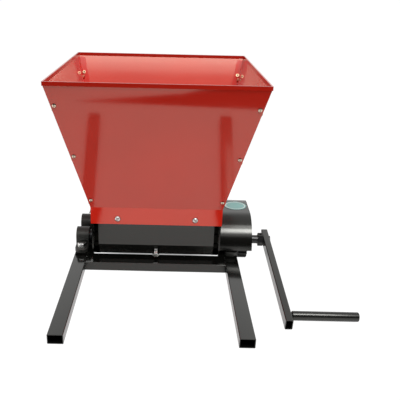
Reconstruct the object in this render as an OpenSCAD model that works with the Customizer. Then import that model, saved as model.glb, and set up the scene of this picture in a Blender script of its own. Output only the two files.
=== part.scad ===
// Hand cranked grape crusher: a sheet hopper over two fluted rollers, on two rail tubes.
// Millimetres. X runs across the rollers, the crank is at +X, the front is at -Y, the ground is z = 0.

/* [Rails] */
// Width of a rail tube
rail_w = 30; // [26:1:36]
// Height of a rail tube
rail_h = 20; // [18:1:25]
// Wall of the rail and cross bar tubes
tube_wall = 1.5; // [1.25:0.25:2.5]
// Outer corner radius of the tubes
tube_corner = 1.5; // [1:0.25:3]
// Length of the rails
rail_l = 880; // [760:10:1000]
// Space between a side plate and its rail
rail_gap = 12.5; // [11:0.5:16]
// Depth of a cross bar tube
bar_d = 48; // [30:1:60]
// How far a cross bar reaches under the box
bar_under = 9.5; // [6:0.5:14]

/* [Roller box] */
// Width between the side plates
box_w = 289; // [270:1:295]
// Depth over the front and rear plates
box_d = 221; // [215:1:235]
// Thickness of a side plate and its foot
side_t = 3; // [2:0.5:4]
// Thickness of the front and rear plates
plate_t = 2.5; // [2:0.5:3]
// Space between a side plate and the end of a front or rear plate
plate_gap = 12; // [9:0.5:14]
// Height of the front and rear plates' lower edge over the rails
plate_lift = 1.5; // [1:0.5:5]
// Height over the rails where the front and rear plates fold inwards
fold_rise = 28.5; // [26:0.5:32]
// Angle of that fold
fold_tilt = 22; // [16:1:24]
// Depth of the steps at the ends of the front and rear plates
plate_step = 10; // [8:0.5:11]
// Diameter of the plate and guard bolts
plate_bolt_d = 6; // [5:1:8]
// Height of the lower plate bolts over the rails
plate_bolt_low = 26; // [20:1:30]
// Height of the upper plate bolts over the rails
plate_bolt_high = 50; // [42:1:54]
// Thickness of the deflectors and scrapers
guide_t = 1.5; // [1:0.5:2]
// Clear gap from a scraper to its roller
scrape_gap = 1.2; // [0.8:0.1:2]
// Diameter of the adjusting bolts
adjust_d = 8; // [6:1:10]
// Length that an adjusting bolt stands out of its plate
adjust_l = 24; // [20:1:36]
// Distance of an adjusting bolt below the fold
adjust_drop = 8; // [7:0.5:10]

/* [Hopper] */
// Width over the rim
hopper_top_w = 432; // [400:2:460]
// Depth over the rim
hopper_top_d = 460; // [420:2:480]
// Height from the bend over the skirt to the rim
hopper_h = 295; // [250:5:330]
// Height of the skirt
skirt_h = 40; // [36:1:50]
// Height of the skirt's lower edge over the rails
skirt_rise = 80; // [79:1:90]
// Height of the upright lip round the rim
lip_h = 8; // [5:1:12]
// Thickness of the hopper sheet
sheet_t = 1.5; // [1:0.25:2]
// Leg width of a corner angle
angle_leg = 15; // [14:1:20]
// Thickness of a corner angle
angle_t = 1.5; // [1:0.25:2]
// Diameter of the corner screws
corner_screw_d = 4; // [3:1:5]
// Corner screws along one leg
corner_screws_n = 3; // [2:1:5]
// Diameter of the skirt screws
skirt_screw_d = 6; // [5:1:6]
// Spacing of the skirt screws on the front and rear
skirt_screw_w = 176; // [140:2:200]
// Spacing of the skirt screws on the sides
skirt_screw_side = 120; // [100:2:140]

/* [Rollers and gears] */
// Distance between the two roller axes
axis_gap = 81; // [79:1:83]
// Distance from the box's front face to the front roller
roller_room = 18; // [16.5:0.5:33.5]
// Gap between the rollers
nip = 8; // [5:0.5:12]
// Flutes on a roller
flutes_n = 10; // [8:1:14]
// Radius of a flute
flute_r = 5; // [3:0.5:6]
// Clear gap at each end of a roller
roller_end_gap = 1.5; // [1:0.25:3]
// Diameter of the shafts
shaft_d = 20; // [16:1:22]
// Radial running clearance of the shafts
run_clear = 0.03; // [0.02:0.01:0.08]
// Teeth on each gear
teeth_n = 24; // [22:1:28]
// Height of the gears over the ground
gear_lift = 0.6; // [0.4:0.1:3]
// Width of the gears
gear_w = 20; // [16:1:22]
// Thinning of a tooth for backlash
backlash = 0.2; // [0.1:0.05:0.4]

/* [Bearing blocks] */
// Radius of a bearing dome
dome_r = 22; // [20:1:24]
// Length of a foot from its dome
foot_l = 32; // [30:0.5:32.5]
// Height of a foot
foot_h = 9; // [7:1:10]
// Distance of a block bolt from the front dome
foot_bolt = 11.5; // [11:0.5:15]
// Wall of a bearing bush
bush_wall = 4; // [3:0.5:5]
// Diameter of the block bolts
block_bolt_d = 10; // [8:1:12]

/* [Gear guard] */
// Radius of the guard's round ends over that of the gears
guard_space = 30; // [29:0.5:34]
// Height of the guard's top over the gears
guard_clear = 17; // [13:0.5:18]
// Sheet of the guard
guard_t = 1.5; // [1:0.25:2]
// Height of the guard's open edge over the bearing blocks' feet
guard_foot_gap = 5.5; // [3:0.5:8]
// Diameter of the round label
label_d = 54; // [30:1:54]
// Place of the label outside the middle of the guard
label_x = 6; // [0:1:8]
// Place of the label behind the middle of the guard
label_y = 7; // [0:1:20]

/* [Crank] */
// Distance from the drive shaft to the grip
crank_r = 294; // [240:2:320]
// Width of the arm tube
arm_w = 15; // [13:1:18]
// Height of the arm tube
arm_h = 22; // [21:1:26]
// Wall of the arm tube
arm_wall = 1.5; // [1:0.25:2]
// Length of the arm behind the drive shaft
arm_tail = 30; // [18:1:36]
// Length of the arm past the grip
arm_tip = 29; // [20:1:40]
// Bare shaft between the guard and the hub
shaft_bare = 20; // [12:1:30]
// Width of the hexagonal hub across its flats
hub_af = 27; // [26:1:34]
// Length of the hub
hub_l = 12; // [10:1:18]
// Diameter of the shaft's end in the arm
spigot_d = 14; // [12:1:15]
// Diameter of the grip
grip_d = 19; // [18:1:24]
// Length of the grip
grip_l = 131; // [110:1:150]
// Diameter of the grip spindle
spindle_d = 10; // [8:1:10]

/* [Hidden] */
$fn = 64;
eps = 0.01;

// Colours
red_paint = [0.78, 0.07, 0.05];
black_paint = [0.09, 0.09, 0.09];
zinc = [0.80, 0.80, 0.78];
bronze = [0.65, 0.45, 0.22];
aluminium = [0.70, 0.71, 0.72];
steel = [0.45, 0.46, 0.48];
black_plastic = [0.05, 0.05, 0.05];
teal = [0.30, 0.62, 0.60];

// Clearances
hole_clear = 0.2;
pass_clear = 2;
side_clear = 0.5;
turn_gap = 0.4;

// Gears: their lowest teeth set the height of the roller axes
pitch_r = axis_gap / 2;
gear_module = axis_gap / teeth_n;
gear_outer_r = pitch_r + gear_module;
gear_root_r = pitch_r - 1.25 * gear_module;
gear_base_r = pitch_r * cos(20);
axis_z = gear_outer_r + gear_lift;

// Heights and half widths of the frame and the box
side_x0 = box_w / 2;
side_x1 = side_x0 + side_t;
rail_x0 = side_x1 + rail_gap;
rail_x1 = rail_x0 + rail_w;
rail_x = (rail_x0 + rail_x1) / 2;
foot_edge = 2;
block_z = rail_h + side_t;
axis_rise = axis_z - block_z;
box_y = box_d / 2;
plate_z0 = rail_h + plate_lift;
plate_x1 = side_x0 - plate_gap;
fold_z = rail_h + fold_rise;
fold_l = (fold_z - plate_z0) / cos(fold_tilt);
skirt_z = rail_h + skirt_rise;
box_drop = 6;
box_top = skirt_z + skirt_h - box_drop;

// The roller axes: their places and their distances from the middle towards their own end
roller_r = pitch_r - nip / 2;
function axis_at(side) = roller_r + roller_room - box_y + (side + 1) * axis_gap / 2;
function axis_reach(end) = end * axis_at(end);

// Bearing blocks and their bolts
bush_r = shaft_d / 2 + run_clear + bush_wall;
block_y1 = axis_reach(-1) + dome_r + foot_l;
block_bolt_y = axis_reach(-1) + dome_r + foot_bolt;
block_bolt_af = 1.7 * block_bolt_d;
block_washer_t = 2;
block_washer_r = block_bolt_d;
weld_nut_h = 7;

// Bolts that hold the plates to the side plates' turned-in edges
plate_bolt_x = (plate_x1 + side_x0) / 2;
plate_bolt_z = [rail_h + plate_bolt_low, rail_h + plate_bolt_high];
plate_bolt_af = 10 / 6 * plate_bolt_d;
plate_bolt_head = 4;
tab_y = box_y - plate_step;
edge_y = tab_y - plate_t;
edge_drop = 5;
edge_top = skirt_z - edge_drop;

// Rollers
roller_x1 = side_x0 - roller_end_gap;

// Places of the gears, their keys and their rings
gear_spacer_t = 3.6;
gear_x0 = rail_x1 + turn_gap + gear_spacer_t;
gear_x1 = gear_x0 + gear_w;
key_w = 6;
key_l = gear_w - 2;
ring_t = 1.5;
ring_seat = 0.7;
ring_r = shaft_d / 2 + 3.5;

// Shaft collars between the side plates and the blocks
collar_side_gap = 2.1;
collar_w = rail_x0 - side_x1 - turn_gap - collar_side_gap;
collar_r = shaft_d / 2 + 5;

// Hopper: half sizes at the bottom and at the rim
hopper_bw = side_x1 + sheet_t;
hopper_bd = box_y + sheet_t;
hopper_tw = hopper_top_w / 2;
hopper_td = hopper_top_d / 2;
bend_z = skirt_z + skirt_h;
rim_z = bend_z + hopper_h;
lip_z = rim_z - lip_h;
function panel_tilt(bottom, top) = atan2(top - sheet_t - bottom, lip_z - bend_z);
tilt_w = panel_tilt(hopper_bw, hopper_tw);
tilt_d = panel_tilt(hopper_bd, hopper_td);

// Screws
angle_short = 3;
corner_inset = 6;
corner_low = 20;
corner_high = 40;
corner_stagger = 10;
corner_head_d = 2.15 * corner_screw_d;
corner_head_h = 0.65 * corner_screw_d;
corner_nut_af = 1.75 * corner_screw_d;
corner_nut_h = 0.8 * corner_screw_d;
skirt_head_d = 2.1 * skirt_screw_d;
skirt_head_h = 0.6 * skirt_screw_d;
skirt_nut_af = 10 / 6 * skirt_screw_d;
skirt_nut_h = 0.8 * skirt_screw_d;
skirt_screw_rise = 13;
skirt_screw_z = skirt_z + skirt_screw_rise;

// Deflectors and scrapers
deflector_rise = 6;
deflector_out = 14;
deflector_gap = 3;
deflector_z = skirt_z + deflector_rise;
deflector_end_z = axis_z + roller_r + deflector_gap;
scraper_edge = 2;
scraper_low = plate_z0 + scraper_edge;
scraper_drop = 0.5;
scraper_z = fold_z + plate_t * tan(fold_tilt / 2) - guide_t - scraper_drop;
adjust_end = 3;
adjust_af = 13 / 8 * adjust_d;
adjust_head = 0.65 * adjust_d;
adjust_nut_h = 0.8 * adjust_d;

// Gear guard
guard_x0 = side_x1;
guard_gear_gap = 7;
guard_bolt_gap = 6.5;
guard_x1 = gear_x1 + guard_gear_gap + guard_t;
guard_r = gear_outer_r + guard_space;
guard_top = axis_z + gear_outer_r + guard_clear;
guard_z = guard_top - guard_r;
guard_low = block_z + foot_h + guard_foot_gap;
guard_reach = block_bolt_y + block_washer_r + guard_bolt_gap + guard_t;
guard_y = guard_reach - sqrt(pow(guard_r, 2) - pow(guard_low - guard_z, 2));
guard_skirt_gap = 1.5;
guard_tab_in = 18;
guard_tab_edge = 10;
guard_bolt_y = guard_reach - guard_tab_in;
guard_tab_y = guard_bolt_y - guard_tab_edge;
guard_bolt_z = [guard_low + guard_tab_edge, guard_low + 2.5 * guard_tab_edge];
label_t = 0.5;

// Crank: the tip of the arm rests just over the ground
tip_gap = 0.5;
hub_x0 = guard_x1 + shaft_bare;
arm_x0 = hub_x0 + hub_l;
arm_x1 = arm_x0 + arm_w;
arm_l = crank_r + arm_tip;
arm_swing = norm([arm_l, arm_h / 2]);
crank_tilt = asin((axis_z - tip_gap) / arm_swing) - atan2(arm_h / 2, arm_l);
crank_screw_d = 8;
crank_screw_head = 2.2;
crank_screw_l = 16;
hub_pin_d = 5;
spindle_flange = 2;
spindle_nut_af = 1.7 * spindle_d;
spindle_nut_h = 0.8 * spindle_d;
grip_x0 = arm_x1 + spindle_flange + turn_gap;
grip_x1 = grip_x0 + grip_l;
grip_edge = 2;
spindle_head_r = 0.68 * spindle_d;
spindle_head_h = 5;
grip_pocket_r = spindle_head_r + turn_gap;
grip_pocket_h = spindle_head_h + 1;

// The model stands with the middle of its outline on the origin
mid_x = (grip_x1 - hopper_tw) / 2;

// Placing helpers
module centred() {
    translate([-mid_x, 0, 0]) children();
}
module on_axis(side) {
    translate([0, axis_at(side), axis_z]) children();
}
module along_x(length) {
    rotate([90, 0, 90]) linear_extrude(length, center = true) children();
}
module along_y(length) {
    rotate([90, 0, 0]) linear_extrude(length, center = true) children();
}
module rod_x(r, x0, x1) {
    translate([x0, 0, 0]) rotate([0, 90, 0]) cylinder(r = r, h = x1 - x0);
}
module tube_x(r, hole_r, x0, x1) {
    difference() {
        rod_x(r, x0, x1);
        rod_x(hole_r, x0 - 1, x1 + 1);
    }
}
module both_x() {
    children();
    mirror([1, 0, 0]) children();
}
module both_y() {
    children();
    mirror([0, 1, 0]) children();
}
module flip_x(side) {
    mirror([side < 0 ? 1 : 0, 0, 0]) children();
}
module flip_y(end) {
    mirror([0, end > 0 ? 1 : 0, 0]) children();
}
module on_both_axes() {
    for (side = [-1, 1]) on_axis(side) children();
}
module on_crank() {
    on_axis(-1) rotate([crank_tilt, 0, 0]) children();
}

// Shapes that repeat
function reversed(points) = [for (i = [len(points) - 1 : -1 : 0]) points[i]];
module round_rect(w, h, r) {
    square([w - 2 * r, h], center = true);
    square([w, h - 2 * r], center = true);
    for (x = [-1, 1], y = [-1, 1]) translate([x * (w / 2 - r), y * (h / 2 - r)]) circle(r);
}
module tube_profile(w, h, wall, corner) {
    difference() {
        round_rect(w, h, corner);
        round_rect(w - 2 * wall, h - 2 * wall, max(corner - wall, 0.3));
    }
}
module hexagon(af) {
    circle(r = af / sqrt(3), $fn = 6);
}
module hex_nut(af, h, hole_d) {
    linear_extrude(h) difference() {
        hexagon(af);
        circle(d = hole_d);
    }
}
// A pan head screw: the head stands on z = 0 and the shank hangs below it
module pan_screw(d, head_d, head_h, length) {
    crown = 0.7 * head_h;
    ball_r = (head_d * head_d / 4 + crown * crown) / (2 * crown);
    slot_w = 0.13 * head_d;
    slot_l = 0.55 * head_d;
    difference() {
        union() {
            intersection() {
                cylinder(d = head_d, h = head_h);
                translate([0, 0, head_h - ball_r]) sphere(ball_r);
            }
            translate([0, 0, -length]) cylinder(d = d, h = length + eps);
        }
        for (turn = [0, 90]) rotate(turn) translate([-slot_l / 2, -slot_w / 2, 0.45 * head_h])
            cube([slot_l, slot_w, head_h]);
    }
}
module hex_bolt(d, af, head_h, length) {
    linear_extrude(head_h) hexagon(af);
    translate([0, 0, -length]) cylinder(d = d, h = length + eps);
}

// Rails and cross bars
module rail(side) {
    difference() {
        translate([side * rail_x, 0, rail_h / 2]) along_y(rail_l)
            tube_profile(rail_w, rail_h, tube_wall, tube_corner);
        both_y() translate([side * rail_x, block_bolt_y, rail_h / 2])
            cylinder(d = block_bolt_d + 2 * hole_clear, h = rail_h);
    }
}
module left_rail() {
    color(black_paint) centred() rail(-1);
}
module right_rail() {
    color(black_paint) centred() rail(1);
}
module cross_bar(end) {
    translate([0, end * (box_y - bar_under + bar_d / 2), rail_h / 2]) along_x(2 * rail_x0)
        tube_profile(bar_d, rail_h, tube_wall, tube_corner);
}
module front_cross_bar() {
    color(black_paint) centred() cross_bar(-1);
}
module rear_cross_bar() {
    color(black_paint) centred() cross_bar(1);
}

// Bearing blocks: two domes and two feet in one casting, seated on the side plate's foot
module block_profile() {
    groove_w = 1.5;
    groove_d = 1;
    translate([-block_y1, block_z]) square([2 * block_y1, foot_h]);
    translate([axis_at(-1), block_z]) square([axis_gap, axis_rise * 0.7]);
    for (side = [-1, 1]) translate([axis_at(side), 0]) difference() {
        union() {
            translate([-dome_r, block_z]) square([2 * dome_r, axis_rise]);
            intersection() {
                translate([0, axis_z]) circle(dome_r);
                translate([-dome_r, axis_z]) square(2 * dome_r);
            }
        }
        for (edge = [-1, 1]) translate([edge * dome_r, axis_z + groove_w / 2])
            square([2 * groove_d, groove_w], center = true);
    }
}
module bearing_block(side) {
    difference() {
        intersection() {
            translate([side * rail_x, 0, 0]) along_x(rail_w) block_profile();
            translate([side * rail_x, 0, 0]) linear_extrude(axis_z + 2 * dome_r) {
                square([rail_w, 2 * block_y1 - rail_w], center = true);
                for (end = [-1, 1]) translate([0, end * (block_y1 - rail_w / 2)]) circle(rail_w / 2);
            }
        }
        on_both_axes() rod_x(bush_r, side * rail_x - rail_w, side * rail_x + rail_w);
        both_y() translate([side * rail_x, block_bolt_y, 0])
            cylinder(d = block_bolt_d + 2 * hole_clear, h = axis_z);
    }
}
module left_bearing_block() {
    color(black_paint) centred() bearing_block(-1);
}
module right_bearing_block() {
    color(black_paint) centred() bearing_block(1);
}
module at_block_bolts() {
    both_x() both_y() translate([rail_x, block_bolt_y, block_z + foot_h]) children();
}
module block_bolts() {
    grip_depth = foot_h + side_t + tube_wall + weld_nut_h + block_washer_t;
    color(zinc) centred() at_block_bolts() translate([0, 0, block_washer_t])
        hex_bolt(block_bolt_d, block_bolt_af, 0.7 * block_bolt_d, grip_depth);
}
module block_washers() {
    color(zinc) centred() at_block_bolts() linear_extrude(block_washer_t) difference() {
        circle(block_washer_r);
        circle(d = block_bolt_d + 2 * hole_clear);
    }
}
module weld_nuts() {
    color(steel) centred() both_x() both_y()
        translate([rail_x, block_bolt_y, rail_h - tube_wall - weld_nut_h])
        hex_nut(block_bolt_af, weld_nut_h, block_bolt_d);
}
module bushes(side) {
    flip_x(side) on_both_axes() tube_x(bush_r, shaft_d / 2 + run_clear, rail_x0, rail_x1);
}
module left_bushes() {
    color(bronze) centred() bushes(-1);
}
module right_bushes() {
    color(bronze) centred() bushes(1);
}

// Side plates: an upright wall with turned-in edges and a foot clamped under the bearing block
module side_plate(side) {
    flip_x(side) difference() {
        union() {
            translate([side_x0, -box_y, rail_h]) cube([side_t, box_d, box_top - rail_h]);
            translate([side_x1 - eps, -box_y, rail_h])
                cube([rail_x1 - foot_edge - side_x1 + eps, box_d, side_t]);
            both_y() translate([plate_x1, edge_y - side_t, plate_z0])
                cube([plate_gap + eps, side_t, edge_top - plate_z0]);
        }
        on_both_axes() rod_x(shaft_d / 2 + pass_clear, side_x0 - 1, side_x1 + 1);
        both_y() for (z = plate_bolt_z) translate([plate_bolt_x, edge_y, z]) rotate([90, 0, 0])
            cylinder(d = plate_bolt_d, h = 4 * side_t, center = true);
        if (side > 0) both_y() for (z = guard_bolt_z) translate([0, guard_bolt_y, z])
            rod_x(plate_bolt_d / 2, side_x0 - 1, side_x1 + 1);
        both_y() translate([0, skirt_screw_side / 2, skirt_screw_z])
            rod_x(skirt_screw_d / 2 + hole_clear, side_x0 - 1, side_x1 + 1);
        both_y() translate([rail_x, block_bolt_y, 0])
            cylinder(d = block_bolt_d + 2 * hole_clear, h = block_z + 1);
    }
}
module left_side_plate() {
    color(black_paint) centred() side_plate(-1);
}
module right_side_plate() {
    color(black_paint) centred() side_plate(1);
}

// Front and rear plates: the sheet's line at a depth below its outer face, folded inwards at the bottom
function plate_line(depth) = [
    [depth - box_y, box_top],
    [depth - box_y, fold_z + depth * tan(fold_tilt / 2)],
    [fold_l * sin(fold_tilt) + depth * cos(fold_tilt) - box_y, plate_z0 + depth * sin(fold_tilt)]
];
// Stand on the outer face below the fold of the front plate, with z along its outward normal
module on_fold(drop) {
    translate([0, drop * sin(fold_tilt) - box_y, fold_z - drop * cos(fold_tilt)])
        rotate([90 + fold_tilt, 0, 0]) children();
}
// Each end is stepped back, and its tab is bolted to the side plate's turned-in edge
module box_plate(end) {
    flip_y(end) difference() {
        union() {
            along_x(2 * plate_x1) polygon(concat(plate_line(0), reversed(plate_line(plate_t))));
            both_x() translate([plate_x1 - plate_t / 2, 0, 0]) along_x(plate_t) polygon([
                [-box_y + eps, edge_top],
                [-box_y + eps, fold_z],
                [fold_l * sin(fold_tilt) - box_y + eps, plate_z0],
                [-edge_y, plate_z0],
                [-edge_y, edge_top]
            ]);
            both_x() translate([plate_x1 - plate_t, -tab_y, plate_z0])
                cube([plate_t + plate_gap - side_clear, plate_t, edge_top - plate_z0]);
        }
        both_x() for (z = plate_bolt_z) translate([plate_bolt_x, -tab_y, z]) rotate([90, 0, 0])
            cylinder(d = plate_bolt_d + 2 * hole_clear, h = 4 * plate_t, center = true);
        both_x() translate([skirt_screw_w / 2, -box_y, skirt_screw_z]) rotate([90, 0, 0])
            cylinder(d = skirt_screw_d + 2 * hole_clear, h = 4 * plate_t, center = true);
        on_fold(adjust_drop) cylinder(d = adjust_d + 2 * hole_clear, h = 4 * plate_t, center = true);
    }
}
module front_plate() {
    color(black_paint) centred() box_plate(-1);
}
module rear_plate() {
    color(black_paint) centred() box_plate(1);
}
module plate_bolts() {
    color(black_paint) centred() both_x() both_y() for (z = plate_bolt_z)
        translate([plate_bolt_x, -tab_y, z]) rotate([90, 0, 0])
        hex_bolt(plate_bolt_d, plate_bolt_af, plate_bolt_head, plate_t + side_t);
}

// Deflectors: sheets that lead the fruit from the skirt down to the rollers
module deflector(end) {
    y0 = box_y - plate_t;
    end_y = axis_reach(end) + deflector_out;
    lean = atan2(y0 - end_y, deflector_z - deflector_end_z);
    flip_y(end) difference() {
        along_x(box_w - 2 * side_clear) polygon([
            [-y0, box_top],
            [-y0, deflector_z],
            [-end_y, deflector_end_z],
            [-end_y + guide_t * cos(lean), deflector_end_z + guide_t * sin(lean)],
            [-y0 + guide_t, deflector_z + guide_t * tan(lean / 2)],
            [-y0 + guide_t, box_top]
        ]);
        both_x() translate([skirt_screw_w / 2, -y0, skirt_screw_z]) rotate([90, 0, 0])
            cylinder(d = skirt_screw_d + 2 * hole_clear, h = 4 * guide_t, center = true);
    }
}
module front_deflector() {
    color(zinc) centred() deflector(-1);
}
module rear_deflector() {
    color(zinc) centred() deflector(1);
}

// Scrapers: blades that end just off the rollers, with a leg along the plate below the fold
module scraper(end) {
    blade_y = axis_reach(end) + sqrt(pow(roller_r + scrape_gap, 2) - pow(scraper_z - axis_z, 2));
    leg = plate_line(plate_t);
    slope = tan(fold_tilt);
    top_y = leg[1][0] + (leg[1][1] - scraper_z - guide_t) * slope;
    low_y = leg[1][0] + (leg[1][1] - scraper_low) * slope;
    knee_y = top_y + guide_t * slope;
    across = guide_t / cos(fold_tilt);
    flip_y(end) difference() {
        along_x(2 * (plate_x1 - plate_t - side_clear)) polygon([
            [top_y, scraper_z + guide_t],
            [low_y, scraper_low],
            [low_y + across, scraper_low],
            [knee_y + across, scraper_z],
            [-blade_y, scraper_z],
            [-blade_y, scraper_z + guide_t]
        ]);
        on_fold(adjust_drop) cylinder(d = adjust_d, h = 8 * plate_t, center = true);
    }
}
module front_scraper() {
    color(zinc) centred() scraper(-1);
}
module rear_scraper() {
    color(zinc) centred() scraper(1);
}
module adjusting_bolt(end) {
    shank = adjust_l - adjust_head;
    flip_y(end) on_fold(adjust_drop) translate([0, 0, shank])
        hex_bolt(adjust_d, adjust_af, adjust_head, shank + plate_t + guide_t + adjust_end);
}
module front_adjusting_bolt() {
    color(zinc) centred() adjusting_bolt(-1);
}
module rear_adjusting_bolt() {
    color(zinc) centred() adjusting_bolt(1);
}
module adjusting_nuts() {
    color(black_paint) centred() both_y() on_fold(adjust_drop) hex_nut(adjust_af, adjust_nut_h, adjust_d);
}

// Hopper: the outline of a panel at a depth below its outer face, from the skirt up to the rim,
// where the sheet is folded over outwards and lies double
function panel_line(bottom, top, depth) =
    let (lift = depth * tan(panel_tilt(bottom, top) / 2), single = top - sheet_t - depth) concat([
        [bottom - depth, skirt_z],
        [bottom - depth, bend_z + lift],
        [single, lip_z + lift]
    ], depth > 0 ? [[single, rim_z]] : [[top, lip_z], [top, rim_z]]);
function mirrored(points) = [for (p = points) [-p[0], p[1]]];
// The sheet between two depths of one panel
module panel_strip(bottom, top, depth_0, depth_1) {
    polygon(concat(panel_line(bottom, top, depth_0), reversed(panel_line(bottom, top, depth_1))));
}
// The whole outline of the hopper at one depth
module hopper_outline(bottom, top, depth) {
    side = panel_line(bottom, top, depth);
    polygon(concat(side, reversed(mirrored(side))));
}
// Half width and half depth of the outer faces at a height
function width_at(z) = hopper_bw + tan(tilt_w) * (z - bend_z);
function depth_at(z) = hopper_bd + tan(tilt_d) * (z - bend_z);
function corner_z(i) =
    bend_z + corner_low + i * (lip_z - corner_high - bend_z - corner_low) / (corner_screws_n - 1);

// Stand on the outer face of a sloping panel, with z along its outward normal
module on_long_panel(end, x, z) {
    flip_y(end) translate([x, -depth_at(z), z]) rotate([90 + tilt_d, 0, 0]) children();
}
module on_short_panel(side, y, z) {
    flip_x(side) translate([width_at(z), y, z]) rotate([0, 90 + tilt_w, 0]) children();
}
module at_long_corners(ends, sides) {
    for (end = ends, side = sides, i = [0 : corner_screws_n - 1])
        on_long_panel(end, side * (width_at(corner_z(i)) - sheet_t - corner_inset), corner_z(i)) children();
}
module at_short_corners(ends, sides) {
    for (end = ends, side = sides, i = [0 : corner_screws_n - 1]) {
        z = corner_z(i) - corner_stagger;
        on_short_panel(side, end * (depth_at(z) - sheet_t - corner_inset), z) children();
    }
}
module corner_hole() {
    cylinder(d = corner_screw_d + 2 * hole_clear, h = 8 * sheet_t, center = true);
}
// On the skirt, with z along its outward normal
module on_long_skirt() {
    both_x() both_y() translate([skirt_screw_w / 2, -hopper_bd, skirt_screw_z]) rotate([90, 0, 0]) children();
}
module on_short_skirt() {
    both_x() both_y() translate([hopper_bw, skirt_screw_side / 2, skirt_screw_z])
        rotate([0, 90, 0]) children();
}
module skirt_hole() {
    cylinder(d = skirt_screw_d + 2 * hole_clear, h = 8 * sheet_t, center = true);
}

// The sheet of a front panel and of a right panel, wider than the hopper
module long_sheet(depth_0, depth_1) {
    mirror([0, 1, 0]) along_x(2 * hopper_top_w) panel_strip(hopper_bd, hopper_td, depth_0, depth_1);
}
module short_sheet(depth_0, depth_1) {
    along_y(2 * hopper_top_d) panel_strip(hopper_bw, hopper_tw, depth_0, depth_1);
}

module long_panel(end) {
    difference() {
        flip_y(end) intersection() {
            long_sheet(0, sheet_t);
            along_y(2 * hopper_top_d) hopper_outline(hopper_bw, hopper_tw, 0);
        }
        at_long_corners([end], [-1, 1]) corner_hole();
        on_long_skirt() skirt_hole();
    }
}
module short_panel(side) {
    difference() {
        flip_x(side) intersection() {
            short_sheet(0, sheet_t);
            along_x(2 * hopper_top_w) hopper_outline(hopper_bd, hopper_td, sheet_t);
        }
        at_short_corners([-1, 1], [side]) corner_hole();
        on_short_skirt() skirt_hole();
    }
}
module hopper_front_panel() {
    color(red_paint) centred() long_panel(-1);
}
module hopper_rear_panel() {
    color(red_paint) centred() long_panel(1);
}
module hopper_left_panel() {
    color(red_paint) centred() short_panel(-1);
}
module hopper_right_panel() {
    color(red_paint) centred() short_panel(1);
}

// Corner angles: one leg on the long panel, one on the short panel
module corner_angle(end, side) {
    back = sheet_t + angle_t;
    reach = sheet_t + angle_leg;
    difference() {
        flip_y(end) flip_x(side) intersection() {
            union() {
                intersection() {
                    long_sheet(sheet_t, back);
                    short_sheet(sheet_t, reach);
                }
                intersection() {
                    short_sheet(sheet_t, back);
                    long_sheet(sheet_t, reach);
                }
            }
            translate([0, -hopper_top_d, bend_z + angle_short])
                cube([hopper_top_w, hopper_top_d, lip_z - bend_z - 2 * angle_short]);
        }
        at_long_corners([end], [side]) corner_hole();
        at_short_corners([end], [side]) corner_hole();
    }
}
module front_left_angle() {
    color(red_paint) centred() corner_angle(-1, -1);
}
module front_right_angle() {
    color(red_paint) centred() corner_angle(-1, 1);
}
module rear_left_angle() {
    color(red_paint) centred() corner_angle(1, -1);
}
module rear_right_angle() {
    color(red_paint) centred() corner_angle(1, 1);
}
module corner_screw() {
    pan_screw(corner_screw_d, corner_head_d, corner_head_h, sheet_t + angle_t + corner_nut_h + 0.5);
}
module corner_nut() {
    translate([0, 0, -sheet_t - angle_t - corner_nut_h]) hex_nut(corner_nut_af, corner_nut_h, corner_screw_d);
}
module corner_screws() {
    color(zinc) centred() {
        at_long_corners([-1, 1], [-1, 1]) corner_screw();
        at_short_corners([-1, 1], [-1, 1]) corner_screw();
    }
}
module corner_nuts() {
    color(zinc) centred() {
        at_long_corners([-1, 1], [-1, 1]) corner_nut();
        at_short_corners([-1, 1], [-1, 1]) corner_nut();
    }
}
// A skirt screw and its nut through the skirt and a wall behind it
module skirt_screw(wall) {
    pan_screw(skirt_screw_d, skirt_head_d, skirt_head_h, sheet_t + wall + skirt_nut_h);
}
module skirt_nut(wall) {
    translate([0, 0, -sheet_t - wall - skirt_nut_h]) hex_nut(skirt_nut_af, skirt_nut_h, skirt_screw_d);
}
module skirt_screws() {
    color(zinc) centred() {
        on_long_skirt() skirt_screw(plate_t + guide_t);
        on_short_skirt() skirt_screw(side_t);
    }
}
module skirt_nuts() {
    color(zinc) centred() {
        on_long_skirt() skirt_nut(plate_t + guide_t);
        on_short_skirt() skirt_nut(side_t);
    }
}

// Gear guard: a sheet cover over the crank side's block and gears, open below
module guard_outline(r) {
    difference() {
        union() {
            translate([-guard_y, guard_z - r]) square([2 * guard_y, 2 * r]);
            for (side = [-1, 1]) translate([side * guard_y, guard_z]) circle(r);
        }
        translate([-2 * block_y1, guard_low - 4 * r]) square([4 * block_y1, 4 * r]);
    }
}
module guard_slab(r, x0, x1) {
    translate([(x0 + x1) / 2, 0, 0]) along_x(x1 - x0) guard_outline(r);
}
module gear_guard() {
    color(black_paint) centred() difference() {
        union() {
            difference() {
                guard_slab(guard_r, guard_x0, guard_x1);
                guard_slab(guard_r - guard_t, guard_x0 - 1, guard_x1 - guard_t);
            }
            both_y() intersection() {
                guard_slab(guard_r - guard_t / 2, guard_x0, guard_x0 + guard_t);
                translate([guard_x0, guard_tab_y, 0]) cube([guard_t, block_y1, skirt_z]);
            }
        }
        translate([guard_x0 - 1, -block_y1, skirt_z - guard_skirt_gap])
            cube([sheet_t + guard_skirt_gap + 1, 2 * block_y1, skirt_h]);
        both_y() for (z = guard_bolt_z) translate([0, guard_bolt_y, z])
            rod_x(plate_bolt_d / 2 + hole_clear, guard_x0 - 1, guard_x0 + guard_t + 1);
        on_axis(-1) rod_x(shaft_d / 2 + pass_clear, guard_x1 - 2 * guard_t, guard_x1 + 1);
    }
}
module guard_bolts() {
    color(black_paint) centred() both_y() for (z = guard_bolt_z)
        translate([guard_x0 + guard_t, guard_bolt_y, z]) rotate([0, 90, 0])
        hex_bolt(plate_bolt_d, plate_bolt_af, plate_bolt_head, guard_t + side_t);
}
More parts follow.
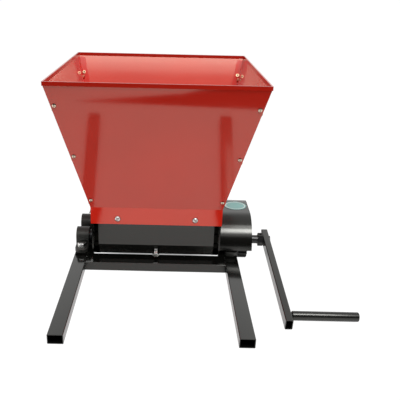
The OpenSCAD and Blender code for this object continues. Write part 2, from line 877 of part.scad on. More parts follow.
module guard_label() {
    color(teal) centred() translate([(guard_x0 + guard_x1) / 2 + label_x, label_y, guard_top])
        cylinder(d = label_d, h = label_t);
}

// Rollers with round flutes
module roller(side) {
    on_axis(side) difference() {
        rod_x(roller_r, -roller_x1, roller_x1);
        rod_x(shaft_d / 2, -roller_x1 - 1, roller_x1 + 1);
        for (i = [0 : flutes_n - 1]) rotate([i * 360 / flutes_n, 0, 0])
            translate([0, 0, roller_r + 0.35 * flute_r]) rod_x(flute_r, -roller_x1 - 1, roller_x1 + 1);
    }
}
module front_roller() {
    color(aluminium) centred() roller(-1);
}
module rear_roller() {
    color(aluminium) centred() roller(1);
}

// Shafts: a keyway under the gear and a groove for its ring
module shaft_cuts() {
    translate([gear_x0 + 1, -key_w / 2, shaft_d / 2 - key_w / 2]) cube([key_l, key_w, key_w]);
    difference() {
        rod_x(shaft_d, gear_x1, gear_x1 + ring_t);
        rod_x(shaft_d / 2 - ring_seat, gear_x1 - 1, gear_x1 + ring_t + 1);
    }
}
module drive_shaft() {
    color(steel) centred() difference() {
        on_axis(-1) union() {
            rod_x(shaft_d / 2, -rail_x1, arm_x0);
            rod_x(spigot_d / 2, arm_x0 - eps, arm_x1);
        }
        on_axis(-1) shaft_cuts();
        on_axis(-1) rod_x(crank_screw_d / 2, arm_x1 - crank_screw_l, arm_x1 + 1);
        on_crank() translate([hub_x0 + hub_l / 2, 0, -hub_af]) cylinder(d = hub_pin_d, h = 2 * hub_af);
    }
}
module driven_shaft() {
    color(steel) centred() on_axis(1) difference() {
        rod_x(shaft_d / 2, -rail_x1, gear_x1 + ring_t + 2);
        shaft_cuts();
    }
}
module collars(side) {
    both_x() on_axis(side) tube_x(collar_r, shaft_d / 2, rail_x0 - turn_gap - collar_w, rail_x0 - turn_gap);
}
module front_collars() {
    color(steel) centred() collars(-1);
}
module rear_collars() {
    color(steel) centred() collars(1);
}
module gear_spacer(side) {
    on_axis(side) tube_x(collar_r, shaft_d / 2, gear_x0 - gear_spacer_t, gear_x0);
}
module front_gear_spacer() {
    color(zinc) centred() gear_spacer(-1);
}
module rear_gear_spacer() {
    color(zinc) centred() gear_spacer(1);
}

// Involute gears: the half angle of a tooth at a radius, in degrees
function involute(a) = tan(a) - a * PI / 180;
function tooth_half(r) =
    90 / teeth_n - backlash / 2 / pitch_r * 180 / PI
    + (involute(20) - involute(acos(min(1, gear_base_r / r)))) * 180 / PI;
function polar(r, a) = [r * cos(a), r * sin(a)];
function tooth_points(a) =
    let (
        steps = 5,
        low_r = max(gear_base_r, gear_root_r),
        radii = [for (k = [0 : steps]) low_r + (gear_outer_r - low_r) * k / steps]
    ) concat(
        [polar(gear_root_r, a - tooth_half(low_r))],
        [for (r = radii) polar(r, a - tooth_half(r))],
        [for (r = reversed(radii)) polar(r, a + tooth_half(r))],
        [polar(gear_root_r, a + tooth_half(low_r))]
    );
// A tooth of the front gear and a gap of the rear gear meet between the axes
module gear(side) {
    phase = side < 0 ? 0 : 180 + 180 / teeth_n;
    dish_d = 4;
    dish_r0 = shaft_d / 2 + 8;
    dish_r1 = gear_root_r - 5;
    on_axis(side) difference() {
        translate([(gear_x0 + gear_x1) / 2, 0, 0]) along_x(gear_w)
            polygon([for (i = [0 : teeth_n - 1]) each tooth_points(phase + i * 360 / teeth_n)]);
        rod_x(shaft_d / 2, gear_x0 - 1, gear_x1 + 1);
        translate([gear_x0 - 1, -key_w / 2, 0]) cube([gear_w + 2, key_w, shaft_d / 2 + key_w / 2]);
        tube_x(dish_r1, dish_r0, gear_x1 - dish_d, gear_x1 + 1);
    }
}
module drive_gear() {
    color(black_plastic) centred() gear(-1);
}
module driven_gear() {
    color(black_plastic) centred() gear(1);
}
module gear_key(side) {
    on_axis(side) translate([gear_x0 + 1, -key_w / 2, shaft_d / 2 - key_w / 2]) cube([key_l, key_w, key_w]);
}
module drive_gear_key() {
    color(steel) centred() gear_key(-1);
}
module driven_gear_key() {
    color(steel) centred() gear_key(1);
}
module gear_ring(side) {
    on_axis(side) tube_x(ring_r, shaft_d / 2 - ring_seat, gear_x1, gear_x1 + ring_t);
}
module drive_gear_ring() {
    color(steel) centred() gear_ring(-1);
}
module driven_gear_ring() {
    color(steel) centred() gear_ring(1);
}

// Crank: a hexagonal hub pinned on the shaft, with the arm tube on the shaft's spigot
module crank_hub() {
    color(black_paint) centred() on_crank() difference() {
        translate([hub_x0 + hub_l / 2, 0, 0]) along_x(hub_l) hexagon(hub_af);
        rod_x(shaft_d / 2, hub_x0 - 1, arm_x0 + 1);
        translate([hub_x0 + hub_l / 2, 0, -hub_af]) cylinder(d = hub_pin_d, h = 2 * hub_af);
    }
}
module hub_pin() {
    color(steel) centred() on_crank() translate([hub_x0 + hub_l / 2, 0, 0])
        cylinder(d = hub_pin_d, h = hub_af - 3, center = true);
}
module crank_arm() {
    color(black_paint) centred() on_crank() difference() {
        translate([(arm_x0 + arm_x1) / 2, (arm_tail - arm_l) / 2, 0]) along_y(arm_l + arm_tail)
            tube_profile(arm_w, arm_h, arm_wall, arm_wall + 0.5);
        rod_x(spigot_d / 2, arm_x0 - 1, arm_x1 + 1);
        translate([0, -crank_r, 0]) rod_x(spindle_d / 2, arm_x1 - 2 * arm_wall, arm_x1 + 1);
    }
}
module crank_screw() {
    color(zinc) centred() on_axis(-1) {
        rod_x(spigot_d / 2 + 2, arm_x1, arm_x1 + crank_screw_head);
        rod_x(crank_screw_d / 2, arm_x1 - crank_screw_l + 1, arm_x1 + eps);
    }
}
module grip_spindle() {
    color(zinc) centred() on_crank() translate([0, -crank_r, 0]) {
        rod_x(spindle_d / 2, arm_x1 - arm_wall - spindle_nut_h - 1, grip_x1 - spindle_head_h);
        rod_x(spindle_head_r, arm_x1, arm_x1 + spindle_flange);
        rod_x(spindle_head_r, grip_x1 - spindle_head_h - turn_gap, grip_x1 - turn_gap);
    }
}
module spindle_nut() {
    color(zinc) centred() on_crank() translate([arm_x1 - arm_wall - spindle_nut_h, -crank_r, 0])
        rotate([0, 90, 0]) rotate(30) hex_nut(spindle_nut_af, spindle_nut_h, spindle_d);
}
module grip_sleeve() {
    r = grip_d / 2;
    color(black_plastic) centred() on_crank() translate([0, -crank_r, 0]) difference() {
        translate([grip_x0, 0, 0]) rotate([0, 90, 0]) rotate_extrude() {
            square([r - grip_edge, grip_l]);
            translate([0, grip_edge]) square([r, grip_l - 2 * grip_edge]);
            for (z = [grip_edge, grip_l - grip_edge]) translate([r - grip_edge, z]) circle(grip_edge);
        }
        rod_x(spindle_d / 2 + run_clear, grip_x0 - 1, grip_x1 + 1);
        rod_x(grip_pocket_r, grip_x1 - grip_pocket_h, grip_x1 + 1);
    }
}

left_rail();
right_rail();
front_cross_bar();
rear_cross_bar();
left_bearing_block();
right_bearing_block();
block_bolts();
block_washers();
weld_nuts();
left_bushes();
right_bushes();
left_side_plate();
right_side_plate();
front_plate();
rear_plate();
plate_bolts();
guard_bolts();
front_deflector();
rear_deflector();
front_scraper();
rear_scraper();
front_adjusting_bolt();
rear_adjusting_bolt();
adjusting_nuts();
hopper_front_panel();
hopper_rear_panel();
hopper_left_panel();
hopper_right_panel();
front_left_angle();
front_right_angle();
rear_left_angle();
rear_right_angle();
corner_screws();
corner_nuts();
skirt_screws();
skirt_nuts();
gear_guard();
guard_label();
front_roller();
drive_shaft();
front_collars();
front_gear_spacer();
drive_gear();
drive_gear_key();
drive_gear_ring();
crank_hub();
hub_pin();
crank_arm();
crank_screw();
grip_spindle();
spindle_nut();
grip_sleeve();
rear_roller();
driven_shaft();
rear_collars();
rear_gear_spacer();
driven_gear();
driven_gear_key();
driven_gear_ring();
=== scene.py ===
import math
import bmesh
import bpy
from mathutils import Matrix, Vector


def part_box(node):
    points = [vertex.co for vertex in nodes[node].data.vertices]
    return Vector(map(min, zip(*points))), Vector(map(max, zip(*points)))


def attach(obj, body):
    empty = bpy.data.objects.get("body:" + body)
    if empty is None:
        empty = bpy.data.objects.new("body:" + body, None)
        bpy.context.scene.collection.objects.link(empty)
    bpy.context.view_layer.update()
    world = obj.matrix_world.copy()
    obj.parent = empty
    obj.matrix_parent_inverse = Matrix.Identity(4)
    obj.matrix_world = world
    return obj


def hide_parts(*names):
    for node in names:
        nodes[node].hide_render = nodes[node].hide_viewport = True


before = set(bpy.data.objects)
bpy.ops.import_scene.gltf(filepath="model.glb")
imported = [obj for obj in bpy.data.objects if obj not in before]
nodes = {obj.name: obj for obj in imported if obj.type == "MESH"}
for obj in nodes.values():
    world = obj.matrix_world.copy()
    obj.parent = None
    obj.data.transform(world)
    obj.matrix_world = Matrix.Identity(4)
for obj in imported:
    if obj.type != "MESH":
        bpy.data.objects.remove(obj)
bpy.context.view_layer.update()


# Rails and cross bars: two lengths of rectangular steel tube lie on the ground and two wider
# tubes are welded between them. All four are sprayed with one coat of glossy black enamel,
# which shows a fine orange peel and faint cloudy patches.
class Shade:
    """One output in a node tree, so that shader maths is written as sums."""

    def __init__(self, tree, socket):
        self.tree, self.socket = tree, socket

    def node(self, kind, settings=None, out=0, **inputs):
        """A new node: its settings, then its sockets by name, or as i0, i1 and so on by number."""
        made = self.tree.nodes.new("ShaderNode" + kind)
        for name, value in (settings or {}).items():
            setattr(made, name, value)
        for name, value in inputs.items():
            numbered = name[0] == "i" and name[1:].isdigit()
            key = int(name[1:]) if numbered else name.replace("_", " ")
            if isinstance(value, Shade):
                self.tree.links.new(value.socket, made.inputs[key])
            else:
                made.inputs[key].default_value = value
        return Shade(self.tree, made.outputs[out])

    def math(self, operation, first, second):
        return self.node("Math", {"operation": operation}, i0=first, i1=second)

    def __add__(self, other):
        return self.math("ADD", self, other)

    def __sub__(self, other):
        return self.math("SUBTRACT", self, other)

    def __rsub__(self, other):
        return self.math("SUBTRACT", other, self)

    def __mul__(self, other):
        return self.math("MULTIPLY", self, other)

    def __abs__(self):
        return self.math("ABSOLUTE", self, 0.0)

    __radd__ = __add__
    __rmul__ = __mul__

    def along(self, axis):
        return self.node("SeparateXYZ", out="XYZ".index(axis), Vector=self)

    def measure(self, operation, other):
        """A number from two vectors, such as their distance or dot product."""
        return self.node("VectorMath", {"operation": operation}, out=1, i0=self, i1=other)

    def noise(self, scale, detail=3.0, stretch=(1, 1, 1)):
        place = self.node("Mapping", Vector=self, Scale=stretch)
        return self.node("TexNoise", Vector=place, Scale=scale, Detail=detail)

    def clamp(self, low, high):
        """0 up to low, 1 from high on, and a straight ramp between them."""
        return self.node("MapRange", Value=self, From_Min=low, From_Max=high)

    def blend(self, first, second):
        return self.node("Mix", {"data_type": "RGBA"}, out=2, i0=self, i6=first, i7=second)


def finish(name, colour, look, metallic=0.0, ior=1.5, tint=(1, 1, 0.95)):
    """A material whose look(place, colour) gives by key what changes over the surface."""
    made = bpy.data.materials.new(name)
    made.use_nodes = True
    tree = made.node_tree
    skin = tree.nodes["Principled BSDF"]
    skin.inputs["Base Color"].default_value = (*colour, 1)
    skin.inputs["Metallic"].default_value = metallic
    skin.inputs["IOR"].default_value = ior
    skin.inputs["Specular Tint"].default_value = (*tint, 1)
    place = Shade(tree, tree.nodes.new("ShaderNodeTexCoord").outputs["Object"])
    parts = look(place, colour)
    for socket, key in (("Base Color", "colour"), ("Roughness", "roughness"), ("Metallic", "metallic")):
        if key in parts:
            tree.links.new(parts[key].socket, skin.inputs[socket])
    if "height" in parts:
        bump = place.node("Bump", Height=parts["height"], Distance=parts["depth"], Strength=1.0)
        tree.links.new(bump.socket, skin.inputs["Normal"])
    return made


def darker(colour, share):
    return (*(c * share for c in colour), 1)


def wear(node_names, material):
    for name in node_names:
        slots = nodes[name].data.materials
        slots.clear()
        slots.append(material)


join_gap = 0.00001


def smooth_curves(name, turn):
    """Nodes for a modifier that joins loose triangles and shades all but the sharp edges smooth."""
    group = bpy.data.node_groups.new(name, "GeometryNodeTree")
    for way in ("INPUT", "OUTPUT"):
        group.interface.new_socket("Geometry", in_out=way, socket_type="NodeSocketGeometry")
    steps = [group.nodes.new(kind) for kind in (
        "NodeGroupInput", "GeometryNodeMergeByDistance", "GeometryNodeSetShadeSmooth",
        "GeometryNodeSetShadeSmooth", "NodeGroupOutput")]
    for before, after in zip(steps, steps[1:]):
        group.links.new(before.outputs[0], after.inputs[0])
    join, crease = steps[1], steps[3]
    join.inputs["Distance"].default_value = join_gap
    crease.domain = "EDGE"
    crease.inputs["Shade Smooth"].default_value = False
    angle = group.nodes.new("GeometryNodeInputMeshEdgeAngle")
    sharp = group.nodes.new("FunctionNodeCompare")
    sharp.inputs["B"].default_value = math.radians(turn)
    group.links.new(angle.outputs["Unsigned Angle"], sharp.inputs["A"])
    group.links.new(sharp.outputs[0], crease.inputs["Selection"])
    return group


# The hopper's sheets have shallow folds that stay sharp, so they get a smaller turn than the rest.
fold_turn, curve_turn = 8, 18
folds = smooth_curves("smooth_folds", fold_turn)
curves = smooth_curves("smooth_curves", curve_turn)
for name, made in nodes.items():
    folded = "hopper" in name or "angle" in name
    made.modifiers.new("curves", "NODES").node_group = folds if folded else curves


def black_coat(dullness):
    """The look of black enamel, whose roughness starts at dullness."""
    def look(place, colour):
        clouds = place.noise(scale=9.0, detail=2.0).clamp(0.35, 0.7)
        return {
            "colour": clouds.blend(darker(colour, 0.8), darker(colour, 1.2)),
            "roughness": clouds * 0.04 + dullness,
            "height": place.noise(scale=420.0, detail=1.0),
            "depth": 0.000004,
        }
    return look


black, black_ior, glossy = (0.0035, 0.0035, 0.003), 1.6, 0.08
black_enamel = finish("black_enamel", black, black_coat(glossy), ior=black_ior)
wear(["left_rail", "right_rail", "front_cross_bar", "rear_cross_bar"], black_enamel)


# Weld beads: short fillets of weld where the cross bars meet the rails, down the four upright
# corners and across the tops, painted over with the frame.
bead_step, bead_waist, bead_sides = 0.0011, 0.84, 10
corner_bead, top_bead = 0.0021, 0.0016
bead_foot, bead_head = 0.0022, 0.002
top_inset, top_sink = 0.003, 0.0006


def bead(cut, start, end, radius):
    """A weld bead: a round that is drawn along the seam and swells at every second step."""
    way = Vector(end) - Vector(start)
    steps = round(way.length / bead_step)
    turn = way.to_track_quat("Z", "Y").to_matrix().to_4x4()
    centre, swell = Vector(start), 1 / bead_waist
    ring = bmesh.ops.create_circle(cut, cap_ends=True, segments=bead_sides, radius=radius * bead_waist,
                                   matrix=Matrix.Translation(centre) @ turn)["verts"]
    face = ring[0].link_faces[0]
    for step in range(steps):
        grown = bmesh.ops.extrude_face_region(cut, geom=[face])["geom"]
        ring = [part for part in grown if isinstance(part, bmesh.types.BMVert)]
        face = [part for part in grown if isinstance(part, bmesh.types.BMFace)][0]
        bmesh.ops.translate(cut, verts=ring, vec=way / steps)
        centre = centre + way / steps
        bmesh.ops.scale(cut, verts=ring, vec=(swell, swell, swell), space=Matrix.Translation(-centre))
        swell = 1 / swell


def place_piece(name, cut, material, stands_for=None):
    """Turns a bmesh into a named piece on the frame, with its material and replaced node."""
    bmesh.ops.recalc_face_normals(cut, faces=cut.faces[:])
    # Extrude and spin list their faces in another order each run, so the faces are sorted by place.
    by_place = sorted(cut.faces, key=lambda face: face.calc_center_median()[:])
    rank = {face: number for number, face in enumerate(by_place)}
    cut.faces.sort(key=rank.get)
    data = bpy.data.meshes.new(name)
    cut.to_mesh(data)
    cut.free()
    data.materials.append(material)
    made = bpy.data.objects.new(name, data)
    bpy.context.scene.collection.objects.link(made)
    made.modifiers.new("curves", "NODES").node_group = curves
    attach(made, "frame")
    if stands_for:
        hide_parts(stands_for)


for end in ("front", "rear"):
    low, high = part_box(end + "_cross_bar")
    seam = high.z - top_sink
    welds = bmesh.new()
    for x in (low.x, high.x):
        for y in (low.y, high.y):
            bead(welds, (x, y, bead_foot), (x, y, high.z - bead_head), corner_bead)
        bead(welds, (x, low.y + top_inset, seam), (x, high.y - top_inset, seam), top_bead)
    place_piece(end + "_welds", welds, black_enamel)


# Bearing blocks: one iron casting for each side with two domes and two feet, painted black over
# the sand-cast skin and bolted down through the feet. Bronze bushes are pressed into the domes.
def cast_coat(place, colour):
    sand = place.noise(scale=330.0, detail=4.0)
    lumps = place.noise(scale=40.0)
    return {
        "colour": lumps.clamp(0.3, 0.7).blend(darker(colour, 0.7), darker(colour, 1.4)),
        "roughness": sand * 0.2 + 0.36,
        "height": sand * 0.6 + lumps,
        "depth": 0.00015,
    }


def bronze_skin(place, colour):
    pores = place.noise(scale=900.0, detail=2.0).clamp(0.3, 0.75)
    return {
        "colour": pores.blend(darker(colour, 0.6), darker(colour, 1.15)),
        "roughness": 0.55 - pores * 0.2,
        "height": pores,
        "depth": 0.00003,
    }


cast_black = finish("cast_black", (0.015, 0.015, 0.0135), cast_coat)
wear(["left_bearing_block", "right_bearing_block"], cast_black)
edge_round, edge_turn = 0.002, 50
for side in ("left", "right"):
    rounding = nodes[side + "_bearing_block"].modifiers.new("cast_edges", "BEVEL")
    rounding.width, rounding.segments, rounding.profile = edge_round, 3, 0.5
    rounding.limit_method, rounding.angle_limit = "ANGLE", math.radians(edge_turn)
bronze = finish("sintered_bronze", (0.50, 0.29, 0.12), bronze_skin, metallic=1.0)
wear(["left_bushes", "right_bushes"], bronze)


# Fasteners: bought-in bolts, nuts, washers, screws and spacers of mild steel with a cloudy zinc
# plate, bright on the bolts and yellowish on the hopper's corner screws and nuts. Painted shade
# darkens the cross recesses of the screws and under the crowns of their heads.
def zinc_plate(dullness):
    """The look of zinc plate, whose roughness starts at dullness."""
    def look(place, colour):
        spangle = place.noise(scale=160.0).clamp(0.3, 0.7)
        cloud = place.noise(scale=30.0, detail=1.0).clamp(0.4, 0.65)
        return {
            "colour": cloud.blend(darker(colour, 1.0), darker(colour, 0.85)),
            "roughness": spangle * 0.16 + dullness,
            "height": spangle,
            "depth": 0.00002,
        }
    return look


def zinc_with_painted_shade(screws, ways, recess):
    """Zinc plate on screws whose heads face the given ways, with painted shade from the recess's floor down.
    """
    def look(place, colour):
        parts = zinc_plate(dullness=0.24)(place, colour)
        heights = []
        for way in ways:
            crown = max(way.dot(vert.co) for vert in nodes[screws].data.vertices)
            heights.append(place.measure("DOT_PRODUCT", way) - crown)
        outward = heights[0]
        for height in heights[1:]:
            outward = outward.math("MAXIMUM", outward, height)
        # Painted shade: from the recess floor down, each screw is darkened to a tenth of its colour.
        unshaded = outward.clamp(-recess, -recess * 0.9)
        parts["colour"] = unshaded.blend(darker(colour, 0.1), parts["colour"])
        return parts
    return look


def facing(panel):
    """The way that a hopper panel's outer face looks: outwards and down."""
    way = max(nodes[panel].data.polygons, key=lambda face: face.area).normal
    return way * -math.copysign(1, way.z)


zinc = finish("zinc_plate", (0.86, 0.86, 0.85), zinc_plate(dullness=0.16), metallic=1.0)
wear(["block_washers", "front_gear_spacer", "rear_gear_spacer"], zinc)
hopper_panels = [f"hopper_{side}_panel" for side in ("front", "rear", "left", "right")]
level_ways = [Vector(way) for way in ((1, 0, 0), (-1, 0, 0), (0, 1, 0), (0, -1, 0))]
skirt_look = zinc_with_painted_shade("skirt_screws", level_ways, recess=0.00197)
wear(["skirt_screws"], finish("zinc_with_painted_shade", (0.97, 0.92, 0.88), skirt_look, metallic=1.0))
panel_ways = [facing(panel) for panel in hopper_panels]
corner_look = zinc_with_painted_shade("corner_screws", panel_ways, recess=0.00142)
wear(["corner_screws"], finish("yellow_zinc", (0.98, 0.80, 0.63), corner_look, metallic=1.0))
nut_zinc = finish("golden_zinc", (0.95, 0.68, 0.42), zinc_plate(dullness=0.36), metallic=1.0)
wear(["corner_nuts", "skirt_nuts"], nut_zinc)

rim_share, pitch_share, thread_share = 0.14, 0.156, 0.09
shank_top, thread_sides, axis_gap = 0.001, 32, 1e-6


def hex_bolt(cut, seat, way, flats, head, shank, length):
    """A hexagon bolt: a head with a rounded rim on the seat, and a shank with a rolled thread."""
    before = set(cut.verts)
    corner = flats / math.sqrt(3)
    ring = bmesh.ops.create_cone(cut, cap_ends=True, segments=6, radius1=corner, radius2=corner, depth=head,
                                 matrix=Matrix.Translation((0, 0, head / 2)))["verts"]
    rim = dict.fromkeys(edge for vert in ring for edge in vert.link_edges
                        if all(end.co.z > head / 2 for end in edge.verts))
    bmesh.ops.bevel(cut, geom=list(rim), offset=head * rim_share, affect="EDGES", segments=3, profile=0.5,
                    material=-1)
    pitch, depth = shank * pitch_share, shank * thread_share
    outline = [(0.0, shank_top), (shank / 2 - depth, shank_top)]
    for turns in range(int(length / pitch)):
        outline += [(shank / 2 - depth, -turns * pitch), (shank / 2, -(turns + 0.5) * pitch)]
    outline += [(shank / 2 - 2 * depth, -length), (0.0, -length)]
    thread = [cut.verts.new((x, 0, z)) for x, z in outline]
    spine = [cut.edges.new(pair) for pair in zip(thread, thread[1:])]
    bmesh.ops.spin(cut, geom=thread + spine, cent=(0, 0, 0), axis=(0, 0, 1), angle=2 * math.pi,
                   steps=thread_sides, use_merge=True)
    axis = [vert for vert in cut.verts if vert not in before and math.hypot(vert.co.x, vert.co.y) < axis_gap]
    bmesh.ops.remove_doubles(cut, verts=axis, dist=axis_gap)
    across = Vector((1, 0, 0))
    stand = Matrix((across.cross(way), across, way)).transposed().to_4x4()
    made = [vert for vert in cut.verts if vert not in before]
    bmesh.ops.transform(cut, verts=made, matrix=Matrix.Translation(seat) @ stand)


low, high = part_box("block_bolts")
flats, head, shank = 0.017, 0.007, 0.010
corner, seat_height = flats / math.sqrt(3), high.z - head
bolts = bmesh.new()
for x in (low.x + corner, high.x - corner):
    for y in (low.y + flats / 2, high.y - flats / 2):
        hex_bolt(bolts, (x, y, seat_height), Vector((0, 0, 1)), flats, head, shank, seat_height - low.z)
place_piece("threaded_block_bolts", bolts, zinc, "block_bolts")

flats, head, shank, shank_length = 0.013, 0.0052, 0.008, 0.0258
tilt = math.radians(22)
for end, side in (("front", -1), ("rear", 1)):
    low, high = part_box(end + "_adjusting_bolt")
    way = Vector((0, side * math.cos(tilt), -math.sin(tilt)))
    tip = high.y if side > 0 else low.y
    face = Vector(((low.x + high.x) / 2,
                   tip - side * math.sin(tilt) * flats / 2,
                   low.z + math.cos(tilt) * flats / 2))
    bolts = bmesh.new()
    hex_bolt(bolts, face - head * way, way, flats, head, shank, shank_length)
    place_piece(end + "_threaded_bolt", bolts, zinc, end + "_adjusting_bolt")


# Roller box: two flat side plates with turned-out feet and a front and a rear plate between
# them, cut from steel sheet, folded and sprayed with the same black enamel as the rails. The
# stepped strip at both ends of the front and rear plate is a dead black, painted shade.
shaded_end_strip = 0.0115


def plate_coat_with_painted_shade(place, colour):
    low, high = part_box("front_plate")
    parts = black_coat(glossy)(place, colour)
    across = abs(place.along("X") - (low.x + high.x) / 2)
    # Painted shade: the end strips become black metal, which mirrors almost nothing.
    parts["metallic"] = across.math("GREATER_THAN", across, (high.x - low.x) / 2 - shaded_end_strip)
    return parts


plate_enamel_shaded_ends = finish("plate_enamel_shaded_ends", black, plate_coat_with_painted_shade, ior=black_ior)
wear(["left_side_plate", "right_side_plate", "adjusting_nuts"], black_enamel)
wear(["front_plate", "rear_plate", "plate_bolts"], plate_enamel_shaded_ends)


# Deflectors and scrapers: folded galvanised sheet inside the box, hanging from the skirt screws
# and clamped by the adjusting bolts. The zinc coat shows its crystals as paler patches.
def galvanised(place, colour):
    crystal = place.node("TexVoronoi", Vector=place, Scale=90.0)
    streak = place.noise(scale=60.0, stretch=(1, 0.1, 1))
    return {
        "colour": crystal.blend(darker(colour, 1.1), darker(colour, 0.8)),
        "roughness": streak * 0.2 + 0.25,
        "height": crystal,
        "depth": 0.00002,
    }


sheet_zinc = finish("galvanised_sheet", (0.62, 0.63, 0.64), galvanised, metallic=1.0)
wear(["front_deflector", "rear_deflector", "front_scraper", "rear_scraper"], sheet_zinc)


# Rollers and shafts: two lengths of fluted aluminium extrusion on turned steel shafts. The die
# leaves fine lines along the rollers, and the lathe leaves fine rings round the shafts.
def extruded(place, colour):
    lines = place.noise(scale=500.0, detail=2.0, stretch=(0.02, 1, 1))
    stains = place.noise(scale=25.0).clamp(0.35, 0.75)
    return {
        "colour": stains.blend(darker(colour, 1.0), darker(colour, 0.82)),
        "roughness": lines * 0.2 + 0.25,
        "height": lines,
        "depth": 0.00004,
    }


def turned(place, colour):
    rings = place.noise(scale=1400.0, detail=2.0, stretch=(1, 0.01, 0.01))
    return {
        "colour": rings.blend(darker(colour, 0.85), darker(colour, 1.1)),
        "roughness": rings * 0.15 + 0.3,
        "height": rings,
        "depth": 0.00001,
    }


roller_metal = finish("extruded_aluminium", (0.74, 0.75, 0.76), extruded, metallic=1.0)
wear(["front_roller", "rear_roller"], roller_metal)
shaft_steel = finish("turned_steel", (0.065, 0.065, 0.065), turned, metallic=1.0)
wear(["drive_shaft", "driven_shaft", "drive_gear_key", "driven_gear_key"], shaft_steel)


# Collars, spring rings, weld nuts and the crank's small parts: steel with a thin blackened skin
# that is rubbed to grey in patches. The collars sit on the shafts between side plates and blocks.
def blackened(place, colour):
    rub = place.noise(scale=220.0, detail=4.0).clamp(0.35, 0.8)
    return {
        "colour": rub.blend(darker(colour, 0.7), darker(colour, 1.8)),
        "roughness": 0.45 - rub * 0.12,
        "height": rub,
        "depth": 0.00001,
    }


black_steel = finish("blackened_steel", (0.030, 0.030, 0.031), blackened, metallic=1.0)
wear(["front_collars", "rear_collars", "drive_gear_ring", "driven_gear_ring", "weld_nuts", "hub_pin",
      "crank_screw", "grip_spindle", "spindle_nut"], black_steel)


# Gears: a meshing pair moulded in black nylon, with a fine grain from the mould. They are keyed
# to the shafts and held by spring rings.
def moulded(place, colour):
    grain = place.noise(scale=700.0, detail=2.0)
    return {
        "colour": grain.blend(darker(colour, 0.8), darker(colour, 1.3)),
        "roughness": grain * 0.15 + 0.3,
        "height": grain,
        "depth": 0.00003,
    }


black_nylon = finish("black_nylon", (0.012, 0.012, 0.012), moulded)
wear(["drive_gear", "driven_gear"], black_nylon)


# Hopper: four steel sheets, each with a vertical skirt below and an upright lip above, screwed
# to four angles inside the corners. All are sprayed glossy red, with a little less shine on the
# angles, and painted shade darkens the red along the lip.
lip_foot, lip_start, lip_painted_shade = 0.009, 0.0075, 0.68


def red_coat(place, colour):
    clouds = place.noise(scale=7.0, detail=2.0).clamp(0.3, 0.7)
    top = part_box("hopper_front_panel")[1].z
    # Painted shade: the band at the height of the upright lip is darkened.
    lip = place.along("Z").clamp(top - lip_foot, top - lip_start)
    sheet = clouds.blend(darker(colour, 0.96), darker(colour, 1.04))
    return {
        "colour": lip.blend(sheet, darker(colour, lip_painted_shade)),
        "roughness": clouds * 0.03 + 0.06,
        "height": place.noise(scale=380.0, detail=1.0),
        "depth": 0.000002,
    }


red = (0.64, 0.020, 0.009)
red_enamel = finish("red_enamel", red, red_coat, ior=1.72, tint=(1, 0.98, 0.82))
wear(hopper_panels, red_enamel)
angle_enamel = finish("angle_enamel", red, red_coat, ior=1.42)
wear([f"{end}_{side}_angle" for end in ("front", "rear") for side in ("left", "right")], angle_enamel)


# Gear guard: a strip of sheet bent round the gears and welded to a flat end, black like the
# frame. A plain round sticker of teal film with a paler border sits on its flat top.
border_reach, border_half, border_colour = 0.86, 0.04, (0.70, 0.84, 0.81, 1)


def sticker(place, colour):
    low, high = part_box("guard_label")
    radius = (high.x - low.x) / 2
    reach = place.measure("DISTANCE", (low + high) / 2)
    border = reach.node("Math", {"operation": "COMPARE"}, i0=reach, i1=radius * border_reach,
                        i2=radius * border_half)
    fibre = place.noise(scale=300.0, detail=2.0)
    return {
        "colour": border.blend(darker(colour, 1.0), border_colour),
        "roughness": fibre * 0.1 + 0.25,
        "height": fibre,
        "depth": 0.00001,
    }


guard_enamel = finish("guard_enamel", black, black_coat(dullness=0.15), ior=black_ior)
wear(["gear_guard", "guard_bolts"], guard_enamel)
teal_film = finish("teal_film", (0.19, 0.50, 0.47), sticker)
wear(["guard_label"], teal_film)


# Crank: a hexagonal hub of blackened steel pinned on the shaft, a rectangular tube arm with the
# frame's black enamel, and a loose round grip on a spindle, a smooth black tube.
def grip_skin(place, colour):
    lines = place.noise(scale=90.0, detail=2.0, stretch=(0.05, 1, 1))
    return {
        "colour": lines.blend(darker(colour, 0.8), darker(colour, 1.2)),
        "roughness": lines * 0.03 + 0.2,
    }


wear(["crank_arm"], black_enamel)
wear(["crank_hub"], black_steel)
grip_black = finish("grip_black", (0.008, 0.008, 0.0075), grip_skin, ior=1.55)
wear(["grip_sleeve"], grip_black)


# Studio: a white floor and a white surround that dims towards the ceiling, four soft lamps high
# above the camera's line of sight, and two black cards that only reflections see, one behind the
# camera and one on the floor before the rails' front ends.
def seen_white(tree):
    """1 for what the camera or a reflection meets, or what shows through, and 0 for other light."""
    path = tree.nodes.new("ShaderNodeLightPath")
    seen = [Shade(tree, path.outputs[f"Is {kind} Ray"]) for kind in ("Camera", "Glossy", "Transmission")]
    total = seen[0] + seen[1] + seen[2]
    return total.node("Clamp", Value=total)


ceiling_dim, low_light, added_light = 0.3, 0.12, 0.55
world = bpy.data.worlds.new("studio")
bpy.context.scene.world = world
world.use_nodes = True
sky_tree = world.node_tree
sky = sky_tree.nodes["Background"]
sky.inputs["Color"].default_value = (1, 1, 1, 1)
climb = Shade(sky_tree, sky_tree.nodes.new("ShaderNodeTexCoord").outputs["Generated"]).along("Z")
backdrop = 1.0 - climb.clamp(0.5, 0.8) * ceiling_dim
ambient = climb.clamp(0.1, 0.8) * added_light + low_light
sky_level = seen_white(sky_tree) * (backdrop - ambient) + ambient
sky_tree.links.new(sky_level.socket, sky.inputs["Strength"])


def stage_sheet(name, cut, material):
    """Turns a bmesh into a sheet of the studio, which isn't part of the object."""
    data = bpy.data.meshes.new(name)
    cut.to_mesh(data)
    cut.free()
    data.materials.append(material)
    made = bpy.data.objects.new(name, data)
    bpy.context.scene.collection.objects.link(made)
    return made


